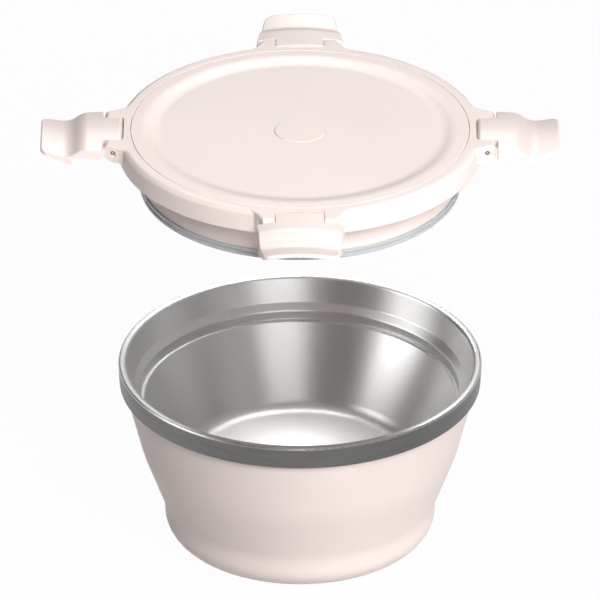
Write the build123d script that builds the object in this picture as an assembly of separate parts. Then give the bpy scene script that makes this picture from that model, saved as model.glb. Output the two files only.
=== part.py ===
"""Insulated stainless bowl with a four-latch lid, held above the bowl with its latches open.

Millimetres, +Z up. The origin is the centre of the foot, on the surface the bowl stands on.
The front of the bowl is towards -Y.
"""

from build123d import *
from math import atan2, radians, tan
import os

os.makedirs("parts", exist_ok=True)

# Bowl: overall sizes
bowl_height = 90.0
rim_radius = 85.8
steel_sheet = 0.8

# Bowl: liner, with depths measured down from the rim and insets measured in from the rim's inner edge
rim_width = 3.7
rim_inner_fillet = 2.0
rim_outer_fillet = 1.2
shoulder_inset = 3.9
shoulder_depth = 11.6
seat_inset = 6.9
seat_depth = 14.8
ledge_depth = 19.2
ledge_width = 1.7
floor_corner_inset = 20.5
floor_depth = 57.0
floor_fillet = 8.0
liner_bend = 1.3

# Bowl: steel band, the folded-down edge of the liner
band_height = 11.2
band_taper = 0.6
band_bend = 1.0

# Bowl: painted outer shell, with each inset measured in from the corner above it
shell_inset = 2.8
knee_inset = 8.3
knee_height = 45.5
knee_fillet = 78.0
waist_inset = 10.3
waist_height = 17.5
waist_fillet = 18.0
foot_inset = 0.9
foot_fillet = 11.0
foot_flange_width = 19.5
weld_gap = 0.1

# Bowl: base plate, vacuum seal and getter
base_plate_lap = 5.0
base_plate_sheet = 1.0
dimple_radius = 7.0
dimple_height = 2.2
evacuation_hole_radius = 1.2
seal_clearance = 0.05
seal_thickness = 1.6
getter_radius = 7.0
getter_height = 3.0
getter_offset = 24.0

# Lid: ring and plug
lid_lift = 111.6
lid_seat_gap = 0.3
ring_setback = 0.8
ring_height = 11.4
ring_top_fillet = 2.6
ring_bottom_fillet = 0.8
ring_wall = 3.8
flange_thickness = 2.8
plug_gap = 1.3
plug_ledge_gap = 0.5
plug_wall = 2.2
plug_floor = 2.0
plug_bend = 0.8

# Lid: gasket
gasket_clearance = 0.3
gasket_height = 4.0
gasket_groove_depth = 2.0
gasket_retainer_height = 0.7
gasket_fit = 0.05
gasket_lip_fillet = 0.5
gasket_lip_groove = 0.7

# Lid: top panel and centre disc
ring_top_width = 5.9
panel_thickness = 1.6
panel_gap = 0.15
panel_edge_fillet = 0.35
panel_rim_width = 6.6
dish_slope_width = 5.2
dish_depth = 1.3
dish_fillet = 16.0
disc_radius = 11.9
disc_thickness = 1.1
disc_rise = 0.35
disc_edge_fillet = 0.3
disc_gap = 0.12
disc_stem_radius = 4.0

# Hinges
hinge_offset = 2.1
hinge_depth = 4.0
pin_radius = 1.0
pin_press_clearance = 0.02
pin_running_clearance = 0.08
pin_recess = 1.3
pin_recess_radius = 1.65
ear_half_width = 18.6
ear_side_angle = 24.0
ear_reach = 4.0
ear_depth = 8.2
ear_blend = 12.0
ear_top_fillet = 1.0
ear_nose_fillet = 2.2
ear_chin_fillet = 3.8
knuckle_half_width = 11.2
knuckle_radius = 4.4
knuckle_gap = 0.35
heel_gap = 0.55
heel_fillet = 1.8

# Latches, with lengths measured out from the hinge axis and depths in from the outer face
open_angle = 90.0
ear_to_plate_gap = 0.7
latch_plate_end = 14.4
latch_side_height = 3.8
latch_hook_gap = 0.3
latch_hook_grip = 1.4
latch_valley_length = 20.8
latch_valley_depth = 4.5
latch_tip_length = 33.8
latch_tip_depth = 2.0
latch_tip_thickness = 1.8
latch_root_half_width = 20.0
latch_tip_half_width = 15.8
latch_side_draft = 8.0
latch_tip_corner = 4.0
latch_root_corner = 1.0
latch_top_bend = 8.5
latch_valley_bend = 8.5
latch_hook_bend = 0.5
latch_edge_fillet = 0.8
latch_wall = 2.0

# Worked-out levels and radii of the bowl
rim_inner_radius = rim_radius - rim_width
shoulder_radius = rim_inner_radius - shoulder_inset
shoulder_z = bowl_height - shoulder_depth
seat_radius = rim_inner_radius - seat_inset
seat_z = bowl_height - seat_depth
ledge_z = bowl_height - ledge_depth
floor_corner_radius = seat_radius - floor_corner_inset
floor_z = bowl_height - floor_depth
band_foot_radius = rim_radius - band_taper
band_foot_z = bowl_height - band_height
shell_top_radius = rim_radius - shell_inset
knee_radius = shell_top_radius - knee_inset
waist_radius = knee_radius - waist_inset
foot_radius = waist_radius - foot_inset
foot_flange_inner_radius = foot_radius - foot_flange_width
base_plate_radius = foot_flange_inner_radius + base_plate_lap

# Worked-out levels and radii of the lid and latches
ring_radius = rim_radius - ring_setback
ring_underside_z = bowl_height + lid_seat_gap + lid_lift
lid_top_z = ring_underside_z + ring_height
panel_radius = ring_radius - ring_top_width - panel_gap
dish_top_radius = panel_radius - panel_rim_width
dish_floor_radius = dish_top_radius - dish_slope_width
dish_bend_run = dish_fillet * tan(atan2(dish_depth, dish_slope_width) / 2)
shelf_radius = dish_top_radius + dish_bend_run
channel_z = lid_top_z - panel_thickness - flange_thickness
plug_radius = seat_radius - plug_gap
plug_foot_z = ledge_z + plug_ledge_gap + lid_lift
groove_radius = plug_radius - gasket_groove_depth
plug_bore_radius = groove_radius - plug_wall
hinge_radius = ring_radius + hinge_offset
hinge_z = lid_top_z - hinge_depth
latch_face_radius = hinge_radius + knuckle_radius
latch_plate_start = ear_reach + ear_to_plate_gap
latch_hook_start = hinge_z - lid_lift - band_foot_z + latch_hook_gap
latch_hook_depth = latch_face_radius - band_foot_radius + latch_hook_grip
latch_sides = {"right": 0, "rear": 90, "left": 180, "front": 270}


def right_of(direction):
    """Unit vector to the right of a direction in the profile plane."""
    return Vector(direction.Y, -direction.X)


def sheet_outline(path, radii, thickness):
    """Closed outline of a bent sheet: path is its seen side, and the metal lies to the right of it."""
    seen = [Vector(*point) for point in path]
    runs = [(b - a).normalized() for a, b in zip(seen, seen[1:])]
    hidden = [seen[0] + right_of(runs[0]) * thickness]
    hidden_radii = []
    for corner, radius, run_in, run_out in zip(seen[1:], radii, runs, runs[1:]):
        side_in = right_of(run_in)
        side_out = right_of(run_out)
        hidden.append(corner + (side_in + side_out) * (thickness / (1 + side_in.dot(side_out))))
        turns_left = run_in.cross(run_out).Z > 0
        hidden_radii.append(radius + thickness if turns_left else max(radius - thickness, 0))
    hidden.append(seen[-1] + right_of(runs[-1]) * thickness)
    points = seen + hidden[::-1]
    return points, [0, *radii, 0, 0, *hidden_radii[::-1], 0]


def profile(points, radii):
    """Face in the XZ plane, from (radius, height) points and the fillet at each."""
    return Plane.XZ * make_face(FilletPolyline(*points, radius=radii, close=True))


def turned(corners):
    """Solid of revolution about Z, from (radius, height, fillet) corners."""
    points = [(radius, height) for radius, height, fillet_radius in corners]
    return revolve(profile(points, [corner[2] for corner in corners]), Axis.Z)


def turned_sheet(corners, thickness):
    """Sheet of revolution, from the (radius, height, fillet) corners of its seen side."""
    path = [(radius, height) for radius, height, fillet_radius in corners]
    radii = [corner[2] for corner in corners[1:-1]]
    return revolve(profile(*sheet_outline(path, radii, thickness)), Axis.Z)


def across(half_width, points, radii):
    """Prism along Y, centred on the XZ plane, from (x, z) points."""
    return extrude(profile(points, radii), half_width, both=True)


def make_liner():
    """Liner from the middle of its floor, up the wall, over the rim and down the band."""
    return turned_sheet(
        [
            (0, floor_z, 0),
            (floor_corner_radius, floor_z, floor_fillet),
            (seat_radius - ledge_width, ledge_z, liner_bend),
            (seat_radius, ledge_z, liner_bend / 4),
            (seat_radius, seat_z, liner_bend),
            (shoulder_radius, shoulder_z, liner_bend),
            (rim_inner_radius, bowl_height, rim_inner_fillet),
            (rim_radius, bowl_height, rim_outer_fillet),
            (band_foot_radius, band_foot_z, band_bend),
            (shell_top_radius + weld_gap, band_foot_z, 0),
        ],
        steel_sheet,
    )


def shell_top_height():
    """Height at which the shell's inner face meets the back of the liner's upper wall."""
    wall = Vector(rim_inner_radius - shoulder_radius, bowl_height - shoulder_z)
    wall_back = steel_sheet * wall.length / wall.Y
    reach = shell_top_radius - steel_sheet - weld_gap - wall_back - shoulder_radius
    return shoulder_z + reach * wall.Y / wall.X


def make_shell():
    """Painted shell from behind the band down to the waist, the foot and the inner flange."""
    return turned_sheet(
        [
            (shell_top_radius, shell_top_height(), 0),
            (shell_top_radius, band_foot_z, liner_bend),
            (knee_radius, knee_height, knee_fillet),
            (waist_radius, waist_height, waist_fillet),
            (foot_radius, 0, foot_fillet),
            (foot_flange_inner_radius, 0, 0),
        ],
        steel_sheet,
    )


def make_base_plate():
    """Bottom plate on the shell's flange, with a dimple around the evacuation hole."""
    rise = steel_sheet + dimple_height
    return turned(
        [
            (evacuation_hole_radius, rise, 0),
            (dimple_radius - base_plate_sheet, rise, 0),
            (dimple_radius - base_plate_sheet, steel_sheet, 0),
            (base_plate_radius, steel_sheet, 0),
            (base_plate_radius, steel_sheet + base_plate_sheet, 0),
            (dimple_radius, steel_sheet + base_plate_sheet, 0),
            (dimple_radius, rise + base_plate_sheet, 0),
            (evacuation_hole_radius, rise + base_plate_sheet, 0),
        ]
    )


def make_vacuum_seal():
    """Bead in the dimple, with a stub up into the evacuation hole."""
    rise = steel_sheet + dimple_height
    bead_radius = dimple_radius - base_plate_sheet - seal_clearance
    stub_radius = evacuation_hole_radius - seal_clearance
    return turned(
        [
            (0, rise - seal_thickness, 0),
            (bead_radius, rise - seal_thickness, seal_thickness / 2),
            (bead_radius, rise, 0),
            (stub_radius, rise, 0),
            (stub_radius, rise + base_plate_sheet, 0),
            (0, rise + base_plate_sheet, 0),
        ]
    )


def make_getter():
    """Tablet on the vacuum side of the base plate."""
    foot = Pos(getter_offset, 0, steel_sheet + base_plate_sheet)
    return foot * Cylinder(getter_radius, getter_height, align=(Align.CENTER, Align.CENTER, Align.MIN))


def lid_ring_section():
    """Ring with its downward wall, and the shelf inside it that carries the panel and the plug."""
    opening = panel_radius + panel_gap
    shelf = lid_top_z - panel_thickness
    return turned(
        [
            (opening, lid_top_z, panel_edge_fillet),
            (ring_radius, lid_top_z, ring_top_fillet),
            (ring_radius, ring_underside_z, ring_bottom_fillet),
            (ring_radius - ring_wall, ring_underside_z, ring_bottom_fillet),
            (ring_radius - ring_wall, channel_z, plug_bend),
            (plug_bore_radius, channel_z, 0),
            (shelf_radius, shelf, 0),
            (opening, shelf, 0),
        ]
    )


def ear_pad():
    """Pair of hinge ears on the +X side, blended into the ring in plan and rounded at the nose."""
    nose = hinge_radius + ear_reach
    root = ring_radius - ring_wall / 2
    slope = tan(radians(ear_side_angle))
    nose_half = ear_half_width - ear_reach * slope
    heart_half = ear_half_width + hinge_radius * slope
    arm = Polygon((0, -heart_half), (nose, -nose_half), (nose, nose_half), (0, heart_half), align=None)
    plan = Circle(root) + arm
    inner_corners = plan.vertices().filter_by(lambda v: 0 < v.X < root and abs(v.Y) < root / 2)
    plan = fillet(inner_corners, ear_blend)
    keep = root - 2 * ring_wall
    plan &= Pos(keep + nose / 2, 0) * Rectangle(nose, nose)
    plan -= Circle(panel_radius + panel_gap)
    pad = Pos(0, 0, lid_top_z - ear_depth) * extrude(plan, ear_depth)
    pad = fillet(pad.edges().group_by(Axis.Z)[-1].filter_by(lambda e: e.center().X > keep), ear_top_fillet)
    side = across(
        2 * ring_radius,
        [
            (0, lid_top_z),
            (nose, lid_top_z),
            (nose, lid_top_z - ear_depth),
            (0, lid_top_z - ear_depth),
        ],
        [0, ear_nose_fillet, ear_chin_fillet, 0],
    )
    return pad & side


def pin_hole(radius, half_length):
    """Cylinder along the +X hinge's axis."""
    return Pos(hinge_radius, 0, hinge_z) * Rot(90, 0, 0) * Cylinder(radius, 2 * half_length)


def knuckle_pocket():
    """Slot between a pair of ears, with a flat back wall behind the knuckle's heel."""
    slot_width = 2 * (knuckle_half_width + knuckle_gap)
    back = hinge_radius - knuckle_radius - heel_gap
    slot = Box(hinge_radius, slot_width, 2 * ring_height, align=(Align.MIN, Align.CENTER, Align.CENTER))
    return Pos(back, 0, hinge_z) * slot


def around(part):
    """The +X piece and its copies on the other three sides."""
    return [part.rotate(Axis.Z, angle) for angle in latch_sides.values()]


def make_lid_ring():
    """Ring with four pairs of ears, bored for the pins and slotted for the knuckles."""
    ears = ear_pad() - pin_hole(pin_radius + pin_press_clearance, 2 * ear_half_width)
    far_end = ear_half_width - pin_recess
    recess = pin_hole(pin_recess_radius, 2 * ear_half_width) - pin_hole(2 * pin_recess_radius, far_end)
    ring = lid_ring_section()
    for cut in around(pin_hole(pin_radius + pin_press_clearance, far_end)):
        ring -= cut
    for ears_here in around(ears - recess):
        ring += ears_here
    for cut in around(knuckle_pocket()):
        ring -= cut
    return ring


def make_lid_plug():
    """Cup under the ring's shelf that goes down into the bowl, grooved for the gasket."""
    groove_foot = plug_foot_z + gasket_retainer_height
    groove_top = groove_foot + gasket_height
    retainer_radius = plug_radius - gasket_retainer_height
    return turned(
        [
            (plug_bore_radius, channel_z, 0),
            (plug_radius, channel_z, 0),
            (plug_radius, groove_top, 0),
            (groove_radius, groove_top, 0),
            (groove_radius, groove_foot, 0),
            (retainer_radius, groove_foot, 0),
            (retainer_radius, plug_foot_z, plug_bend / 2),
            (0, plug_foot_z, 0),
            (0, plug_foot_z + plug_floor, 0),
            (plug_bore_radius, plug_foot_z + plug_floor, plug_bend),
        ]
    )


def make_top_panel():
    """Dished panel, with a shallow seat and a hole for the centre disc."""
    dish_z = lid_top_z - dish_depth
    seat = dish_z + disc_rise - disc_thickness
    back = dish_z - panel_thickness
    return turned(
        [
            (disc_stem_radius + disc_gap, seat, 0),
            (disc_radius + disc_gap, seat, 0),
            (disc_radius + disc_gap, dish_z, 0),
            (dish_floor_radius, dish_z, dish_fillet),
            (dish_top_radius, lid_top_z, dish_fillet),
            (panel_radius, lid_top_z, panel_edge_fillet),
            (panel_radius, lid_top_z - panel_thickness, 0),
            (dish_top_radius, lid_top_z - panel_thickness, dish_fillet),
            (dish_floor_radius, back, dish_fillet),
            (disc_stem_radius + disc_gap, back, 0),
        ]
    )


def make_center_disc():
    """Cover disc seated in the panel, with a stem through it."""
    top = lid_top_z - dish_depth + disc_rise
    seat = top - disc_thickness
    stem_foot = lid_top_z - dish_depth - panel_thickness
    return turned(
        [
            (0, top, 0),
            (disc_radius, top, disc_edge_fillet),
            (disc_radius, seat, 0),
            (disc_stem_radius, seat, 0),
            (disc_stem_radius, stem_foot, 0),
            (0, stem_foot, 0),
        ]
    )


def make_gasket():
    """Seal in the plug's groove, with two rounded lips."""
    lip = seat_radius - gasket_clearance
    root = groove_radius + gasket_fit
    foot = plug_foot_z + gasket_retainer_height + gasket_fit
    top = plug_foot_z + gasket_retainer_height + gasket_height - gasket_fit
    middle = (foot + top) / 2
    half_groove = gasket_lip_groove / 2
    waist = lip - gasket_lip_groove
    return turned(
        [
            (root, foot, 0),
            (lip, foot, gasket_lip_fillet),
            (lip, middle - half_groove, gasket_lip_fillet),
            (waist, middle - half_groove, 0),
            (waist, middle + half_groove, 0),
            (lip, middle + half_groove, gasket_lip_fillet),
            (lip, top, gasket_lip_fillet),
            (root, top, 0),
        ]
    )


def latch_point(length, depth):
    """Profile point of a shut latch: length below the hinge axis, depth in from the latch's outer face."""
    return (latch_face_radius - depth, hinge_z - length)


def swept(section):
    """Section of a latch swept about the bowl's axis, wider than the latch."""
    sweep = 40
    return revolve(section, Axis.Z, sweep).rotate(Axis.Z, -sweep / 2)


def latch_outline(x):
    """Drafted outline of a shut latch's plate and tab, in the plane at x."""
    spread = (latch_face_radius - x) * tan(radians(latch_side_draft))
    root = latch_root_half_width + spread
    tip = latch_tip_half_width + spread
    length = latch_tip_length - latch_plate_start
    outline = FilletPolyline(
        (-root, 0),
        (root, 0),
        (tip, -length),
        (-tip, -length),
        radius=[latch_root_corner, latch_root_corner, latch_tip_corner, latch_tip_corner],
        close=True,
    )
    plane = Plane((x, 0, hinge_z - latch_plate_start), x_dir=(0, 1, 0), z_dir=(1, 0, 0))
    return plane * make_face(outline)


def latch_section():
    """Section of the plate, hook and tab, running on past the tip."""
    valley = Vector(*latch_point(latch_valley_length, latch_valley_depth))
    tip_top = Vector(*latch_point(latch_tip_length, latch_tip_depth))
    hook = Vector(*latch_point(latch_hook_start, latch_hook_depth))
    tip_foot = Vector(*latch_point(latch_tip_length, latch_tip_depth + latch_tip_thickness))
    past_tip = 1.2
    corners = [
        (latch_point(0, 0), 0),
        (latch_point(latch_plate_end, 0), latch_top_bend),
        (valley, latch_valley_bend),
        (valley + (tip_top - valley) * past_tip, 0),
        (hook + (tip_foot - hook) * past_tip, 0),
        (hook, latch_hook_bend),
        (latch_point(latch_hook_start, latch_side_height), latch_hook_bend),
        (latch_point(0, latch_side_height), 0),
    ]
    return profile([corner[0] for corner in corners], [corner[1] for corner in corners])


def latch_hollow():
    """Recess behind the plate, inside its side walls."""
    corners = [
        latch_point(latch_plate_start + latch_wall, latch_wall),
        latch_point(latch_plate_end, latch_wall),
        latch_point(latch_hook_start - latch_wall, latch_side_height),
        latch_point(latch_plate_start + latch_wall, latch_side_height),
    ]
    width = 2 * (latch_tip_half_width - latch_wall)
    return swept(profile(corners, 0)) & Pos(hinge_radius, 0, hinge_z) * Box(hinge_radius, width, hinge_radius)


def knuckle_front():
    """Outer half of the knuckle, with a square heel that lies at the slot's back when the latch is open."""
    half = Circle(knuckle_radius) & Pos(knuckle_radius / 2, 0) * Rectangle(knuckle_radius, 2 * knuckle_radius)
    heel = Pos(knuckle_radius / 2, knuckle_radius / 2) * Rectangle(knuckle_radius, knuckle_radius)
    heel = fillet(heel.vertices().sort_by(Axis((0, 0, 0), (1, 1, 0)))[-1], heel_fillet)
    return swept(Plane.XZ * Pos(hinge_radius, hinge_z) * (half + heel))


def make_knuckle():
    """Knuckle of a shut latch: round about the pin at the back, and flush with the plate at the front."""
    back = pin_hole(knuckle_radius, knuckle_half_width)
    back &= Pos(hinge_radius - knuckle_radius, 0, hinge_z) * Box(2 * knuckle_radius, hinge_radius, hinge_radius)
    front = knuckle_front() & Pos(hinge_radius, 0, hinge_z) * Box(
        hinge_radius, 2 * knuckle_half_width, hinge_radius
    )
    return back + front


def make_latch():
    """Latch on the +X side, shaped as it is when shut."""
    body = swept(latch_section())
    inner_x = hinge_radius - 2 * knuckle_radius
    outer_x = hinge_radius + 2 * knuckle_radius
    trim = loft([latch_outline(inner_x), latch_outline(outer_x)], ruled=True)
    plate = body & trim
    seen_edges = new_edges(body, trim, combined=plate).filter_by(lambda e: e.center().X > hinge_radius + 1)
    plate = fillet(seen_edges, latch_edge_fillet) - latch_hollow()
    neck_length = latch_plate_start + latch_wall
    neck = body & Pos(hinge_radius, 0, hinge_z - neck_length / 2) * Box(
        4 * knuckle_radius, 2 * knuckle_half_width, neck_length
    )
    return plate + neck + make_knuckle() - pin_hole(pin_radius + pin_running_clearance, ear_half_width)


def make_pin():
    """Hinge pin on the +X side, ending inside the ears' recesses."""
    return pin_hole(pin_radius, ear_half_width - pin_recess)


def opened(latch):
    """The latch turned from shut to open about its pin."""
    return latch.rotate(Axis((hinge_radius, 0, hinge_z), (0, 1, 0)), -open_angle)


pieces = {
    "inner_liner": make_liner(),
    "outer_shell": make_shell(),
    "base_plate": make_base_plate(),
    "vacuum_seal": make_vacuum_seal(),
    "getter": make_getter(),
    "lid_ring": make_lid_ring(),
    "lid_plug": make_lid_plug(),
    "lid_top_panel": make_top_panel(),
    "lid_center_disc": make_center_disc(),
    "lid_gasket": make_gasket(),
}
open_latch = opened(make_latch())
pin = make_pin()
for side_name, side_angle in latch_sides.items():
    pieces["latch_" + side_name] = open_latch.rotate(Axis.Z, side_angle)
    pieces["hinge_pin_" + side_name] = pin.rotate(Axis.Z, side_angle)

for piece_name, piece in pieces.items():
    export_step(piece, "parts/" + piece_name + ".step")
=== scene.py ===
"""Looks of an insulated bowl with a four-latch lid, laid out as an add-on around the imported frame."""

import math
from collections import namedtuple

import bpy
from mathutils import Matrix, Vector


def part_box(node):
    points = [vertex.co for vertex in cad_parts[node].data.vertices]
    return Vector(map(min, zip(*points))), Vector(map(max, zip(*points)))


bl_info = {
    "name": "Insulated Bowl Looks",
    "version": (1, 0, 0),
    "blender": (4, 5, 0),
    "location": "View3D > Sidebar > Bowl",
    "description": "Dresses the packed bowl, lid and latches, and sets up their studio",
    "category": "Object",
}

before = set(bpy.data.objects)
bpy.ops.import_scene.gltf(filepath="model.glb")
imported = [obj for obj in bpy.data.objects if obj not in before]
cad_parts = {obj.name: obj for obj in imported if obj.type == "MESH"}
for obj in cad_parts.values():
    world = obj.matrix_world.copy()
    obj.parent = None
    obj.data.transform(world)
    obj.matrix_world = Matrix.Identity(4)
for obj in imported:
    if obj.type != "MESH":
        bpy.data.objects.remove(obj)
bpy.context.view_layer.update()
SIDES = ("front", "rear", "left", "right")
MM = 0.001
FLOOR_SIZE = 12.0
FLOOR_DROP = 0.1 * MM
FLOOR_WHITE_SHARE = 0.97
WORLD_LEFT_STRENGTH = 0.05
WORLD_RIGHT_STRENGTH = 0.36
WORLD_RAMP_END = 0.7

# Sockets of a Mix node that blends colours.
MIX_FACTOR = 0
MIX_FIRST = 6
MIX_SECOND = 7
MIX_RESULT = 2

# Lamps in metres and watts. A matte lamp leaves no reflection, and a sheen lamp is only reflected.
Lamp = namedtuple("Lamp", "name place size power kind")
LAMPS = (
    Lamp("key", place=(0.45, -1.5, 1.5), size=1.0, power=44, kind="matte"),
    Lamp("right", place=(1.8, -0.9, 0.4), size=1.0, power=11, kind="matte"),
    Lamp("rear", place=(-0.5, 2.0, 0.4), size=1.4, power=16, kind="matte"),
    Lamp("front_sheen", place=(0.5, -2.2, 0.8), size=1.4, power=11, kind="sheen"),
    Lamp("back_sheen", place=(0.1, 1.2, 1.7), size=1.0, power=24, kind="sheen"),
    Lamp("left_sheen", place=(-1.8, -0.35, 0.85), size=1.2, power=14, kind="sheen"),
)


class BowlFinish(bpy.types.PropertyGroup):
    """Finishes of the steel liner, the painted shell and the foot."""

    satin_steel: bpy.props.FloatVectorProperty(
        name="Satin Steel",
        description="Colour of the satin steel inside the bowl and on the rim",
        subtype="COLOR",
        size=3,
        default=(0.76, 0.755, 0.745),
    )
    satin_roughness: bpy.props.FloatProperty(
        name="Satin Roughness",
        description="Roughness of the satin steel inside the bowl",
        subtype="FACTOR",
        default=0.38,
        min=0.1,
        max=1.0,
    )
    satin_grain: bpy.props.FloatProperty(
        name="Satin Grain",
        description="Size of the fine speckle in the satin steel",
        subtype="DISTANCE",
        unit="LENGTH",
        default=0.5 * MM,
    )
    # Painted shade: the band's steel is much darker than the satin steel, standing in for the dark
    # reflections it shows; its brushing is real.
    shaded_band_steel: bpy.props.FloatVectorProperty(
        name="Shaded Band Steel",
        description="Colour of the brushed band around the rim",
        subtype="COLOR",
        size=3,
        default=(0.18, 0.178, 0.173),
    )
    band_roughness: bpy.props.FloatProperty(
        name="Band Roughness",
        description="Roughness of the brushed band",
        subtype="FACTOR",
        default=0.42,
        min=0.1,
        max=1.0,
    )
    brushing_pitch: bpy.props.FloatProperty(
        name="Brushing Pitch",
        description="Distance between brushing lines on the steel",
        subtype="DISTANCE",
        unit="LENGTH",
        default=0.35 * MM,
    )
    paint: bpy.props.FloatVectorProperty(
        name="Paint",
        description="Colour of the powder coat on the shell and the base",
        subtype="COLOR",
        size=3,
        default=(0.83, 0.715, 0.685),
    )
    paint_grain: bpy.props.FloatProperty(
        name="Paint Grain",
        description="Size of the grain in the powder coat",
        subtype="DISTANCE",
        unit="LENGTH",
        default=0.55 * MM,
    )


class LidFinish(bpy.types.PropertyGroup):
    """Finishes of the moulded lid, its latches, pins and gasket."""

    plastic: bpy.props.FloatVectorProperty(
        name="Plastic",
        description="Colour of the moulded lid and latches",
        subtype="COLOR",
        size=3,
        default=(0.90, 0.775, 0.735),
    )
    plastic_grain: bpy.props.FloatProperty(
        name="Plastic Grain",
        description="Size of the moulded texture on the lid",
        subtype="DISTANCE",
        unit="LENGTH",
        default=0.4 * MM,
    )
    silicone: bpy.props.FloatVectorProperty(
        name="Silicone",
        description="Colour of the translucent gasket",
        subtype="COLOR",
        size=3,
        default=(0.72, 0.74, 0.76),
    )
    pin_steel: bpy.props.FloatVectorProperty(
        name="Pin Steel",
        description="Colour of the drawn steel pins",
        subtype="COLOR",
        size=3,
        default=(0.62, 0.61, 0.60),
    )
    # Painted shade: the dark colour round the edge of a pin's end stands in for the shade in its shallow
    # recess.
    pin_edge_shade: bpy.props.FloatVectorProperty(
        name="Pin Edge Shade",
        description="Colour of the dark edge round a pin's end",
        subtype="COLOR",
        size=3,
        default=(0.05, 0.045, 0.04),
    )


class StudioSettings(bpy.types.PropertyGroup):
    """Camera and floor."""

    camera_distance: bpy.props.FloatProperty(
        name="Camera Distance",
        description="Distance from the camera to the point it looks at",
        subtype="DISTANCE",
        unit="LENGTH",
        default=5.1,
    )
    camera_elevation: bpy.props.FloatProperty(
        name="Camera Elevation",
        description="Height of the camera above the horizon",
        subtype="ANGLE",
        unit="ROTATION",
        default=math.radians(28.6),
    )
    aim_height: bpy.props.FloatProperty(
        name="Aim Height",
        description="Height of the point on the bowl's axis that the camera looks at",
        subtype="DISTANCE",
        unit="LENGTH",
        default=122 * MM,
    )
    view_width: bpy.props.FloatProperty(
        name="View Width",
        description="Width of the picture at the point the camera looks at",
        subtype="DISTANCE",
        unit="LENGTH",
        default=282.2 * MM,
    )
    floor: bpy.props.FloatVectorProperty(
        name="Floor",
        description="Colour of the floor",
        subtype="COLOR",
        size=3,
        default=(0.55, 0.55, 0.55),
    )


def new_group(name, inputs, outputs):
    """Empty shader node group with float inputs and outputs, and its two end nodes."""
    group = bpy.data.node_groups.new(name, "ShaderNodeTree")
    for socket_name, value in inputs.items():
        socket = group.interface.new_socket(socket_name, in_out="INPUT", socket_type="NodeSocketFloat")
        socket.default_value = value
    for socket_name in outputs:
        group.interface.new_socket(socket_name, in_out="OUTPUT", socket_type="NodeSocketFloat")
    return group, group.nodes.new("NodeGroupInput"), group.nodes.new("NodeGroupOutput")


def math_node(tree, operation, *values):
    """Math node whose inputs are numbers or other nodes' outputs. Returns its output."""
    node = tree.nodes.new("ShaderNodeMath")
    node.operation = operation
    for socket, value in zip(node.inputs, values):
        if isinstance(value, bpy.types.NodeSocket):
            tree.links.new(value, socket)
        else:
            socket.default_value = value
    return node.outputs[0]


def noise_node(tree, vector, scale, detail=2.0, roughness=0.5):
    """Noise texture at a vector. Returns its value output."""
    node = tree.nodes.new("ShaderNodeTexNoise")
    node.inputs["Detail"].default_value = detail
    node.inputs["Roughness"].default_value = roughness
    tree.links.new(vector, node.inputs["Vector"])
    if isinstance(scale, bpy.types.NodeSocket):
        tree.links.new(scale, node.inputs["Scale"])
    else:
        node.inputs["Scale"].default_value = scale
    return node.outputs[0]


def make_grain_group():
    """Fine moulded or sprayed grain: a height for bump and a slow tone that shifts colour."""
    group, start, end = new_group("Fine Grain", {"Grain Size": 0.5 * MM}, ["Height", "Tone"])
    place = group.nodes.new("ShaderNodeTexCoord").outputs["Object"]
    per_metre = math_node(group, "DIVIDE", 1.0, start.outputs["Grain Size"])
    fine = noise_node(group, place, per_metre, detail=3.0, roughness=0.6)
    slow = noise_node(group, place, 22.0, detail=3.0)
    group.links.new(fine, end.inputs["Height"])
    group.links.new(slow, end.inputs["Tone"])
    return group


def make_turned_group():
    """Brushing streaks round the bowl's axis, with no seam, and the distance from that axis."""
    group, start, end = new_group(
        "Turned Brushing", {"Pitch": 0.35 * MM, "Reach": 3.0}, ["Streak", "Radius", "Height"]
    )
    place = group.nodes.new("ShaderNodeTexCoord").outputs["Object"]
    split = group.nodes.new("ShaderNodeSeparateXYZ")
    group.links.new(place, split.inputs[0])
    x, y, z = split.outputs
    square = math_node(group, "ADD", math_node(group, "MULTIPLY", x, x), math_node(group, "MULTIPLY", y, y))
    radius = math_node(group, "MAXIMUM", math_node(group, "SQRT", square), MM)
    reach = start.outputs["Reach"]
    around_x = math_node(group, "MULTIPLY", math_node(group, "DIVIDE", x, radius), reach)
    around_y = math_node(group, "MULTIPLY", math_node(group, "DIVIDE", y, radius), reach)
    along = math_node(group, "ADD", math_node(group, "MULTIPLY", radius, 1.7), z)
    across = math_node(group, "DIVIDE", along, start.outputs["Pitch"])
    joined = group.nodes.new("ShaderNodeCombineXYZ")
    for value, socket in zip((around_x, around_y, across), joined.inputs):
        group.links.new(value, socket)
    streak = noise_node(group, joined.outputs[0], 1.0, detail=3.0, roughness=0.6)
    for value, name in ((streak, "Streak"), (radius, "Radius"), (z, "Height")):
        group.links.new(value, end.inputs[name])
    return group


def shared_group(maker, name):
    """The node group of that name, made on its first use."""
    return bpy.data.node_groups.get(name) or maker()


def new_material(name):
    """Material with one Principled shader, its tree and that shader."""
    material = bpy.data.materials.new(name)
    material.use_nodes = True
    tree = material.node_tree
    shader = next(node for node in tree.nodes if node.type == "BSDF_PRINCIPLED")
    return material, tree, shader


def add_group(tree, group, **values):
    """Group node in a material, with values set by input name."""
    node = tree.nodes.new("ShaderNodeGroup")
    node.node_tree = group
    for key, value in values.items():
        node.inputs[key.replace("_", " ").title()].default_value = value
    return node


def ramp(tree, value, low, high, start=0.3, stop=0.7):
    """Number that goes from low to high as a value goes from start to stop."""
    node = tree.nodes.new("ShaderNodeMapRange")
    for key, number in (("From Min", start), ("From Max", stop), ("To Min", low), ("To Max", high)):
        node.inputs[key].default_value = number
    tree.links.new(value, node.inputs["Value"])
    return node.outputs[0]


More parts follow.
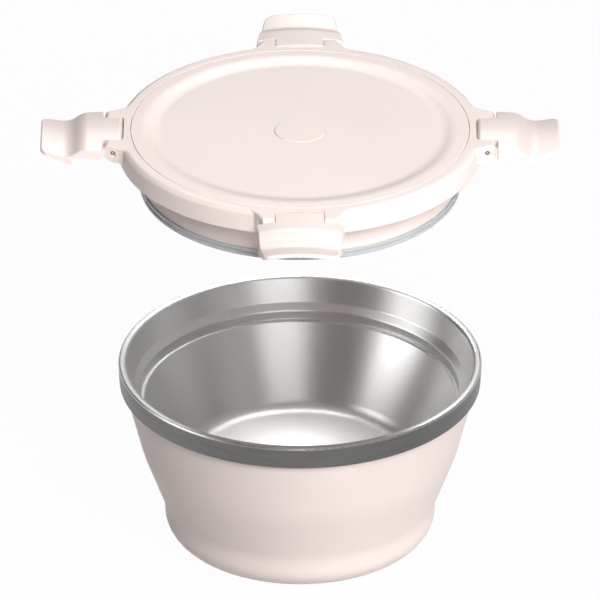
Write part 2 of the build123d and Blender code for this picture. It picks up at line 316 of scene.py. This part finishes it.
def blend_colours(tree, factor, first, second):
    """Colour between two colours."""
    node = tree.nodes.new("ShaderNodeMix")
    node.data_type = "RGBA"
    node.inputs[MIX_FIRST].default_value = (*first, 1.0)
    node.inputs[MIX_SECOND].default_value = (*second, 1.0)
    tree.links.new(factor, node.inputs[MIX_FACTOR])
    return node.outputs[MIX_RESULT]


def mix_colours(tree, factor, first, second):
    """Colour between two other nodes' colours."""
    node = tree.nodes.new("ShaderNodeMix")
    node.data_type = "RGBA"
    for value, place in ((factor, MIX_FACTOR), (first, MIX_FIRST), (second, MIX_SECOND)):
        tree.links.new(value, node.inputs[place])
    return node.outputs[MIX_RESULT]


def add_bump(tree, shader, height, strength, distance):
    """Bump from a height, into the shader's normal."""
    node = tree.nodes.new("ShaderNodeBump")
    node.inputs["Strength"].default_value = strength
    node.inputs["Distance"].default_value = distance
    tree.links.new(height, node.inputs["Height"])
    tree.links.new(node.outputs[0], shader.inputs["Normal"])


def scaled(colour, factor):
    """Colour made lighter or darker."""
    return tuple(channel * factor for channel in colour)


def grained_material(name, colour, grain_size, roughness, bump, spread=0.02):
    """Moulded plastic or powder coat: fine grain, slow tone and a spread of roughness."""
    material, tree, shader = new_material(name)
    grain = add_group(tree, shared_group(make_grain_group, "Fine Grain"), grain_size=grain_size)
    tone = ramp(tree, grain.outputs["Tone"], 0.0, 1.0)
    colour_out = blend_colours(tree, tone, scaled(colour, 1 - spread), scaled(colour, 1 + spread))
    tree.links.new(colour_out, shader.inputs["Base Color"])
    rough = ramp(tree, grain.outputs["Height"], roughness - 0.05, roughness + 0.05)
    tree.links.new(rough, shader.inputs["Roughness"])
    add_bump(tree, shader, grain.outputs["Height"], bump, 0.1 * MM)
    return material, shader


def mix_values(tree, factor, first, second):
    """Number between two numbers, which may be other nodes' outputs."""
    node = tree.nodes.new("ShaderNodeMix")
    for socket, value in zip(node.inputs[2:4], (first, second)):
        if isinstance(value, bpy.types.NodeSocket):
            tree.links.new(value, socket)
        else:
            socket.default_value = value
    tree.links.new(factor, node.inputs[MIX_FACTOR])
    return node.outputs[0]


def make_liner_material(finish):
    """Satin speckled steel inside the bowl and on the rim, and brushed steel on the band, its colour
    darkened as painted shade that stands in for dark reflections.
    """
    material, tree, shader = new_material("liner_steel")
    _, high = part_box("inner_liner")
    brushing = shared_group(make_turned_group, "Turned Brushing")
    turned = add_group(tree, brushing, pitch=finish.brushing_pitch)
    grain = add_group(tree, shared_group(make_grain_group, "Fine Grain"), grain_size=finish.satin_grain)
    outside = ramp(tree, turned.outputs["Radius"], 0.0, 1.0, high.x - 2.0 * MM, high.x - 1.4 * MM)
    below_rim = ramp(tree, turned.outputs["Height"], 1.0, 0.0, high.z - 1.4 * MM, high.z - 0.5 * MM)
    band = math_node(tree, "MULTIPLY", outside, below_rim)
    streak = ramp(tree, turned.outputs["Streak"], 0.0, 1.0)
    satin = blend_colours(
        tree,
        ramp(tree, grain.outputs["Height"], 0.0, 1.0),
        scaled(finish.satin_steel, 0.93),
        scaled(finish.satin_steel, 1.05),
    )
    # The streaks are real brushing; the band's darker steel colour is painted shade that stands in for dark
    # reflections.
    brushed = blend_colours(tree, streak, scaled(finish.shaded_band_steel, 0.82), scaled(finish.shaded_band_steel, 1.15))
    tree.links.new(mix_colours(tree, band, satin, brushed), shader.inputs["Base Color"])
    roughness = finish.satin_roughness
    satin_rough = ramp(tree, grain.outputs["Height"], roughness - 0.05, roughness + 0.05)
    roughness = finish.band_roughness
    band_rough = ramp(tree, turned.outputs["Streak"], roughness + 0.06, roughness - 0.04)
    tree.links.new(mix_values(tree, band, satin_rough, band_rough), shader.inputs["Roughness"])
    shader.inputs["Metallic"].default_value = 1.0
    shader.inputs["Anisotropic"].default_value = 0.6
    shader.inputs["Anisotropic Rotation"].default_value = 0.25
    tangent = tree.nodes.new("ShaderNodeTangent")
    tangent.direction_type = "RADIAL"
    tangent.axis = "Z"
    tree.links.new(tangent.outputs[0], shader.inputs["Tangent"])
    speckle = math_node(tree, "MULTIPLY", grain.outputs["Height"], 0.25)
    lines = math_node(tree, "MULTIPLY", turned.outputs["Streak"], 2.5)
    height = mix_values(tree, band, speckle, lines)
    add_bump(tree, shader, height, 0.5, 0.06 * MM)
    return material


def make_pin_material(finish):
    """Drawn steel, bright in the middle of a pin's end, with painted shade dark round its edge where its
    recess would be shaded.
    """
    material, tree, shader = new_material("pin_steel")
    low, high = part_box("hinge_pin_right")
    axis_radius = (low.x + high.x) / 2
    axis_height = (low.z + high.z) / 2
    pin_radius = (high.z - low.z) / 2
    split = tree.nodes.new("ShaderNodeSeparateXYZ")
    tree.links.new(tree.nodes.new("ShaderNodeTexCoord").outputs["Object"], split.inputs[0])
    x, y, z = split.outputs
    outward = math_node(tree, "MAXIMUM", math_node(tree, "ABSOLUTE", x), math_node(tree, "ABSOLUTE", y))
    across = math_node(tree, "SUBTRACT", outward, axis_radius)
    up = math_node(tree, "SUBTRACT", z, axis_height)
    across_square = math_node(tree, "MULTIPLY", across, across)
    up_square = math_node(tree, "MULTIPLY", up, up)
    from_axis = math_node(tree, "SQRT", math_node(tree, "ADD", across_square, up_square))
    # Painted shade: darker towards the edge of each pin's end, standing in for the shade of its recess.
    edge = ramp(tree, from_axis, 0.0, 1.0, 0.45 * pin_radius, 0.7 * pin_radius)
    colour = blend_colours(tree, edge, tuple(finish.pin_steel), tuple(finish.pin_edge_shade))
    tree.links.new(colour, shader.inputs["Base Color"])
    grain = add_group(tree, shared_group(make_grain_group, "Fine Grain"), grain_size=0.3 * MM)
    tree.links.new(ramp(tree, grain.outputs["Height"], 0.25, 0.35), shader.inputs["Roughness"])
    shader.inputs["Metallic"].default_value = 1.0
    add_bump(tree, shader, grain.outputs["Height"], 0.1, 0.1 * MM)
    return material


def dress(node, material):
    """Gives a frame node its finish, on every material slot."""
    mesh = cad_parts[node].data
    if not mesh.materials:
        mesh.materials.append(material)
    for index in range(len(mesh.materials)):
        mesh.materials[index] = material


class BOWL_OT_dress_liner(bpy.types.Operator):
    """Finish the steel liner, its rim and its folded band"""

    bl_idname = "bowl.dress_liner"
    bl_label = "Dress Liner"

    def execute(self, context):
        dress("inner_liner", make_liner_material(context.scene.bowl_finish))
        return {"FINISHED"}


class BOWL_OT_dress_shell(bpy.types.Operator):
    """Finish the painted shell, the base plate and what sits on it"""

    bl_idname = "bowl.dress_shell"
    bl_label = "Dress Shell"

    def execute(self, context):
        finish = context.scene.bowl_finish
        paint, shader = grained_material(
            "shell_paint", tuple(finish.paint), finish.paint_grain, roughness=0.5, bump=0.25
        )
        shader.inputs["Specular IOR Level"].default_value = 0.4
        dress("outer_shell", paint)
        dress("base_plate", paint)
        bead, _ = grained_material(
            "seal_bead", (0.45, 0.40, 0.33), grain_size=0.8 * MM, roughness=0.25, bump=0.1
        )
        dress("vacuum_seal", bead)
        tablet, shader = grained_material(
            "getter_metal", (0.22, 0.22, 0.23), grain_size=0.3 * MM, roughness=0.7, bump=0.4
        )
        shader.inputs["Metallic"].default_value = 0.8
        dress("getter", tablet)
        return {"FINISHED"}


class BOWL_OT_dress_lid(bpy.types.Operator):
    """Finish the lid's ring and plug, its top panel and its centre disc"""

    bl_idname = "bowl.dress_lid"
    bl_label = "Dress Lid"

    def execute(self, context):
        finish = context.scene.lid_finish
        plastic, _ = grained_material(
            "lid_plastic", tuple(finish.plastic), finish.plastic_grain, roughness=0.42, bump=0.12
        )
        for node in ("lid_ring", "lid_plug", "lid_top_panel", "lid_center_disc"):
            dress(node, plastic)
        return {"FINISHED"}


class BOWL_OT_dress_gasket(bpy.types.Operator):
    """Finish the translucent gasket"""

    bl_idname = "bowl.dress_gasket"
    bl_label = "Dress Gasket"

    def execute(self, context):
        finish = context.scene.lid_finish
        silicone, shader = grained_material(
            "gasket_silicone", tuple(finish.silicone), grain_size=0.5 * MM, roughness=0.35, bump=0.08
        )
        shader.inputs["Subsurface Weight"].default_value = 0.5
        shader.inputs["Subsurface Radius"].default_value = (2 * MM, 2 * MM, 2 * MM)
        shader.inputs["Transmission Weight"].default_value = 0.35
        dress("lid_gasket", silicone)
        return {"FINISHED"}


class BOWL_OT_dress_latches(bpy.types.Operator):
    """Finish the four latches and their hinge pins"""

    bl_idname = "bowl.dress_latches"
    bl_label = "Dress Latches"

    def execute(self, context):
        finish = context.scene.lid_finish
        plastic, _ = grained_material(
            "latch_plastic", tuple(finish.plastic), finish.plastic_grain, roughness=0.40, bump=0.12
        )
        steel = make_pin_material(finish)
        for side in SIDES:
            dress("latch_" + side, plastic)
            dress("hinge_pin_" + side, steel)
        return {"FINISHED"}


def add_lamp(lamp, aim):
    """Square soft lamp that points at a place."""
    light = bpy.data.lights.new(lamp.name, "AREA")
    light.size = lamp.size
    light.energy = lamp.power
    body = bpy.data.objects.new(lamp.name, light)
    body.location = lamp.place
    body.rotation_euler = (Vector(aim) - Vector(lamp.place)).to_track_quat("-Z", "Y").to_euler()
    body.visible_camera = False
    body.visible_diffuse = lamp.kind != "sheen"
    body.visible_glossy = lamp.kind != "matte"
    bpy.context.collection.objects.link(body)


def add_camera(settings):
    """Long-lens camera in front of the bowl, looking down at its axis."""
    data = bpy.data.cameras.new("camera")
    camera = bpy.data.objects.new("camera", data)
    aim = Vector((0, 0, settings.aim_height))
    elevation = settings.camera_elevation
    back = Vector((0, -math.cos(elevation), math.sin(elevation)))
    camera.location = aim + back * settings.camera_distance
    camera.rotation_euler = (-back).to_track_quat("-Z", "Y").to_euler()
    data.lens = data.sensor_width * settings.camera_distance / settings.view_width
    data.clip_end = 50.0
    bpy.context.collection.objects.link(camera)
    bpy.context.scene.camera = camera


def make_floor_material(colour):
    """Pale floor that looks white, and still takes the bowl's shadow."""
    material, tree, shader = new_material("floor_pale")
    grain = add_group(tree, shared_group(make_grain_group, "Fine Grain"), grain_size=4 * MM)
    tone = ramp(tree, grain.outputs["Tone"], 0.0, 1.0)
    tree.links.new(blend_colours(tree, tone, scaled(colour, 0.99), colour), shader.inputs["Base Color"])
    shader.inputs["Roughness"].default_value = 0.9
    shader.inputs["Specular IOR Level"].default_value = 0.1
    path = tree.nodes.new("ShaderNodeLightPath")
    seen = math_node(tree, "MAXIMUM", path.outputs["Is Camera Ray"], path.outputs["Is Glossy Ray"])
    seen = math_node(tree, "MAXIMUM", seen, path.outputs["Is Transmission Ray"])
    glow = tree.nodes.new("ShaderNodeEmission")
    glow.inputs["Strength"].default_value = 1.0
    mix = tree.nodes.new("ShaderNodeMixShader")
    tree.links.new(math_node(tree, "MULTIPLY", seen, FLOOR_WHITE_SHARE), mix.inputs[0])
    tree.links.new(shader.outputs[0], mix.inputs[1])
    tree.links.new(glow.outputs[0], mix.inputs[2])
    output = next(node for node in tree.nodes if node.type == "OUTPUT_MATERIAL")
    tree.links.new(mix.outputs[0], output.inputs["Surface"])
    return material


def make_world():
    """Soft studio surroundings, brighter on the right than on the left."""
    world = bpy.data.worlds.new("studio")
    world.use_nodes = True
    tree = world.node_tree
    background = next(node for node in tree.nodes if node.type == "BACKGROUND")
    place = tree.nodes.new("ShaderNodeTexCoord").outputs["Generated"]
    split = tree.nodes.new("ShaderNodeSeparateXYZ")
    tree.links.new(place, split.inputs[0])
    background.inputs["Color"].default_value = (1.0, 1.0, 1.0, 1.0)
    sideways = ramp(
        tree,
        split.outputs[0],
        WORLD_LEFT_STRENGTH,
        WORLD_RIGHT_STRENGTH,
        start=-WORLD_RAMP_END,
        stop=WORLD_RAMP_END,
    )
    tree.links.new(sideways, background.inputs["Strength"])
    bpy.context.scene.world = world


class BOWL_OT_build_studio(bpy.types.Operator):
    """Build the floor, the lamps, the surroundings and the camera"""

    bl_idname = "bowl.build_studio"
    bl_label = "Build Studio"

    def execute(self, context):
        settings = context.scene.bowl_studio
        bpy.ops.mesh.primitive_plane_add(size=FLOOR_SIZE, location=(0, 0, -FLOOR_DROP))
        floor = context.object
        floor.name = "floor"
        floor.data.materials.append(make_floor_material(tuple(settings.floor)))
        aim = (0, 0, settings.aim_height)
        for lamp in LAMPS:
            add_lamp(lamp, aim)
        make_world()
        add_camera(settings)
        context.scene.view_settings.view_transform = "Standard"
        return {"FINISHED"}


class BOWL_PT_looks(bpy.types.Panel):
    """Finishes and studio of the bowl"""

    bl_idname = "BOWL_PT_looks"
    bl_label = "Insulated Bowl"
    bl_space_type = "VIEW_3D"
    bl_region_type = "UI"
    bl_category = "Bowl"

    def draw(self, context):
        layout = self.layout
        scene = context.scene
        for settings in (scene.bowl_finish, scene.lid_finish, scene.bowl_studio):
            column = layout.column(align=True)
            for key in settings.__annotations__:
                column.prop(settings, key)
        for operator in OPERATORS:
            layout.operator(operator.bl_idname)


SETTINGS = {"bowl_finish": BowlFinish, "lid_finish": LidFinish, "bowl_studio": StudioSettings}
OPERATORS = (
    BOWL_OT_dress_liner,
    BOWL_OT_dress_shell,
    BOWL_OT_dress_lid,
    BOWL_OT_dress_gasket,
    BOWL_OT_dress_latches,
    BOWL_OT_build_studio,
)


def register():
    """Registers the settings, operators and panel."""
    for name, group in SETTINGS.items():
        bpy.utils.register_class(group)
        setattr(bpy.types.Scene, name, bpy.props.PointerProperty(type=group))
    for operator in OPERATORS:
        bpy.utils.register_class(operator)
    bpy.utils.register_class(BOWL_PT_looks)


def unregister():
    """Removes what register added."""
    bpy.utils.unregister_class(BOWL_PT_looks)
    for operator in reversed(OPERATORS):
        bpy.utils.unregister_class(operator)
    for name, group in SETTINGS.items():
        delattr(bpy.types.Scene, name)
        bpy.utils.unregister_class(group)


def main():
    """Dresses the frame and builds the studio."""
    register()
    bpy.ops.bowl.dress_liner()
    bpy.ops.bowl.dress_shell()
    bpy.ops.bowl.dress_lid()
    bpy.ops.bowl.dress_gasket()
    bpy.ops.bowl.dress_latches()
    bpy.ops.bowl.build_studio()


if __name__ == "__main__":
    main()
